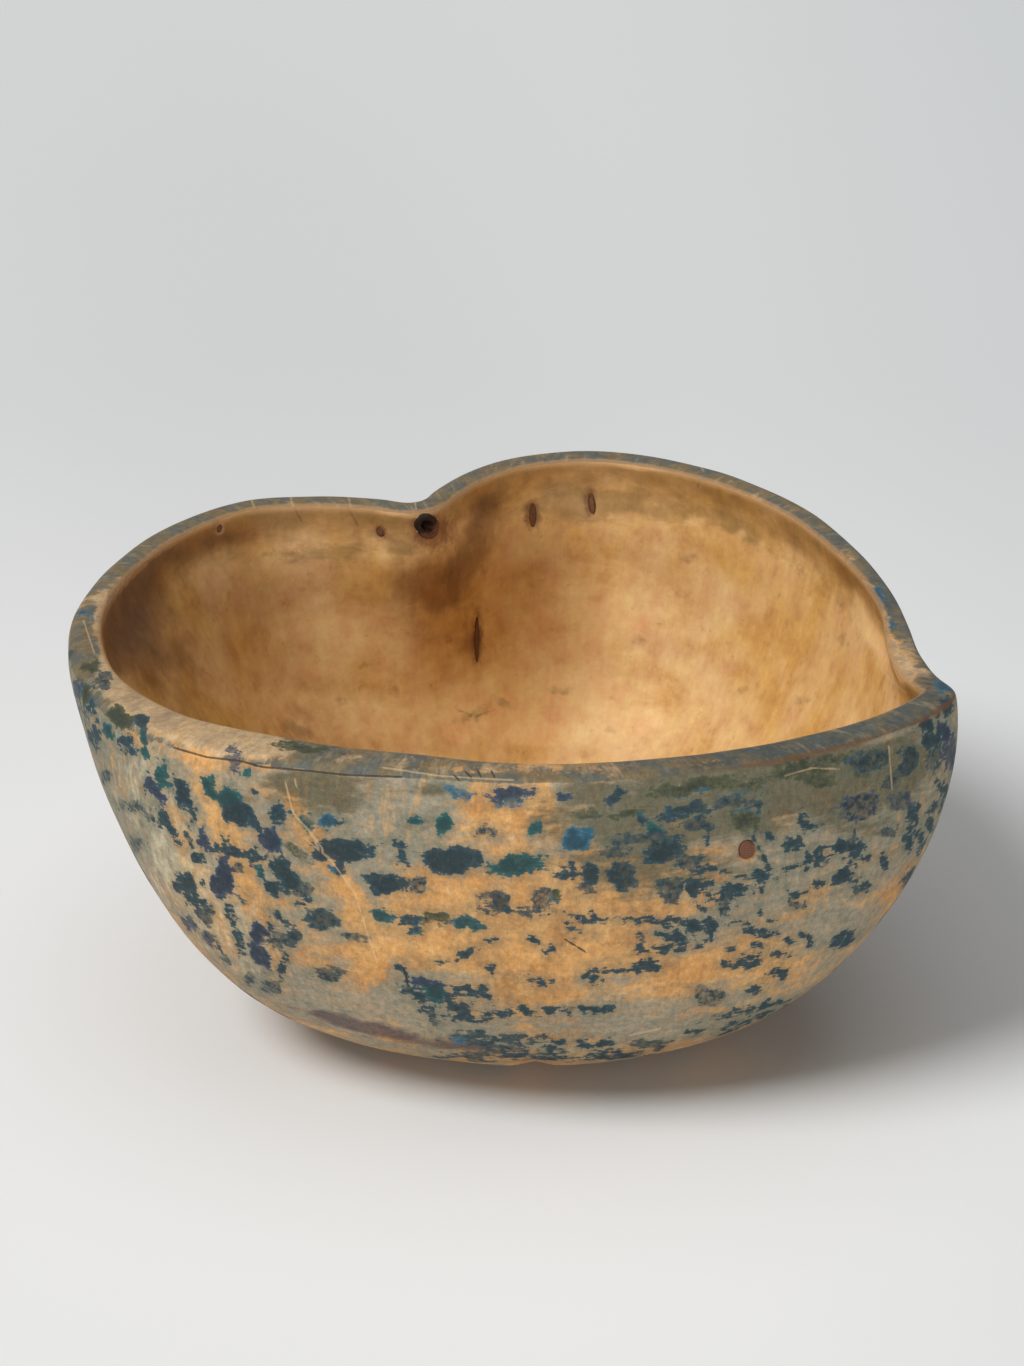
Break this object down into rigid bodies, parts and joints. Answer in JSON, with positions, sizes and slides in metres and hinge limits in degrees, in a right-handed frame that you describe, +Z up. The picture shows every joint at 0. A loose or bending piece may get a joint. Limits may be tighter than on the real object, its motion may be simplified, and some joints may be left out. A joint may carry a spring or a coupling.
{
  "type": "root bowl",
  "caption": "Lobed wooden bowl carved from a root burl, with clefts in its flat rim, dead knots and bark pockets in its wall, and a flat foot.",
  "frame": {"origin": "middle of the flat foot, on the plane it stands on", "axes": "+Z up out of the hollow, -Y towards the side with the front crease, +X to the right seen from that side"},
  "size_m": [0.3519, 0.322, 0.158],
  "materials": {
    "bowl_wood": "hand-carved and worn smooth, with remains of dark blue-green paint outside and on the rim",
    "knot_wood": "dark red-brown dead knot, end grain",
    "bark": "crumbly dark bark, matt"
  },
  "bodies": {
    "root": {"bowl": "bowl_wood", "cleft_knot": "knot_wood", "side_knot": "knot_wood", "pin_knot_back": "knot_wood", "pin_knot_left": "knot_wood", "ledge_bark_left": "bark", "ledge_bark_right": "bark", "cleft_bark_seam": "bark"}
  },
  "joints": []
}
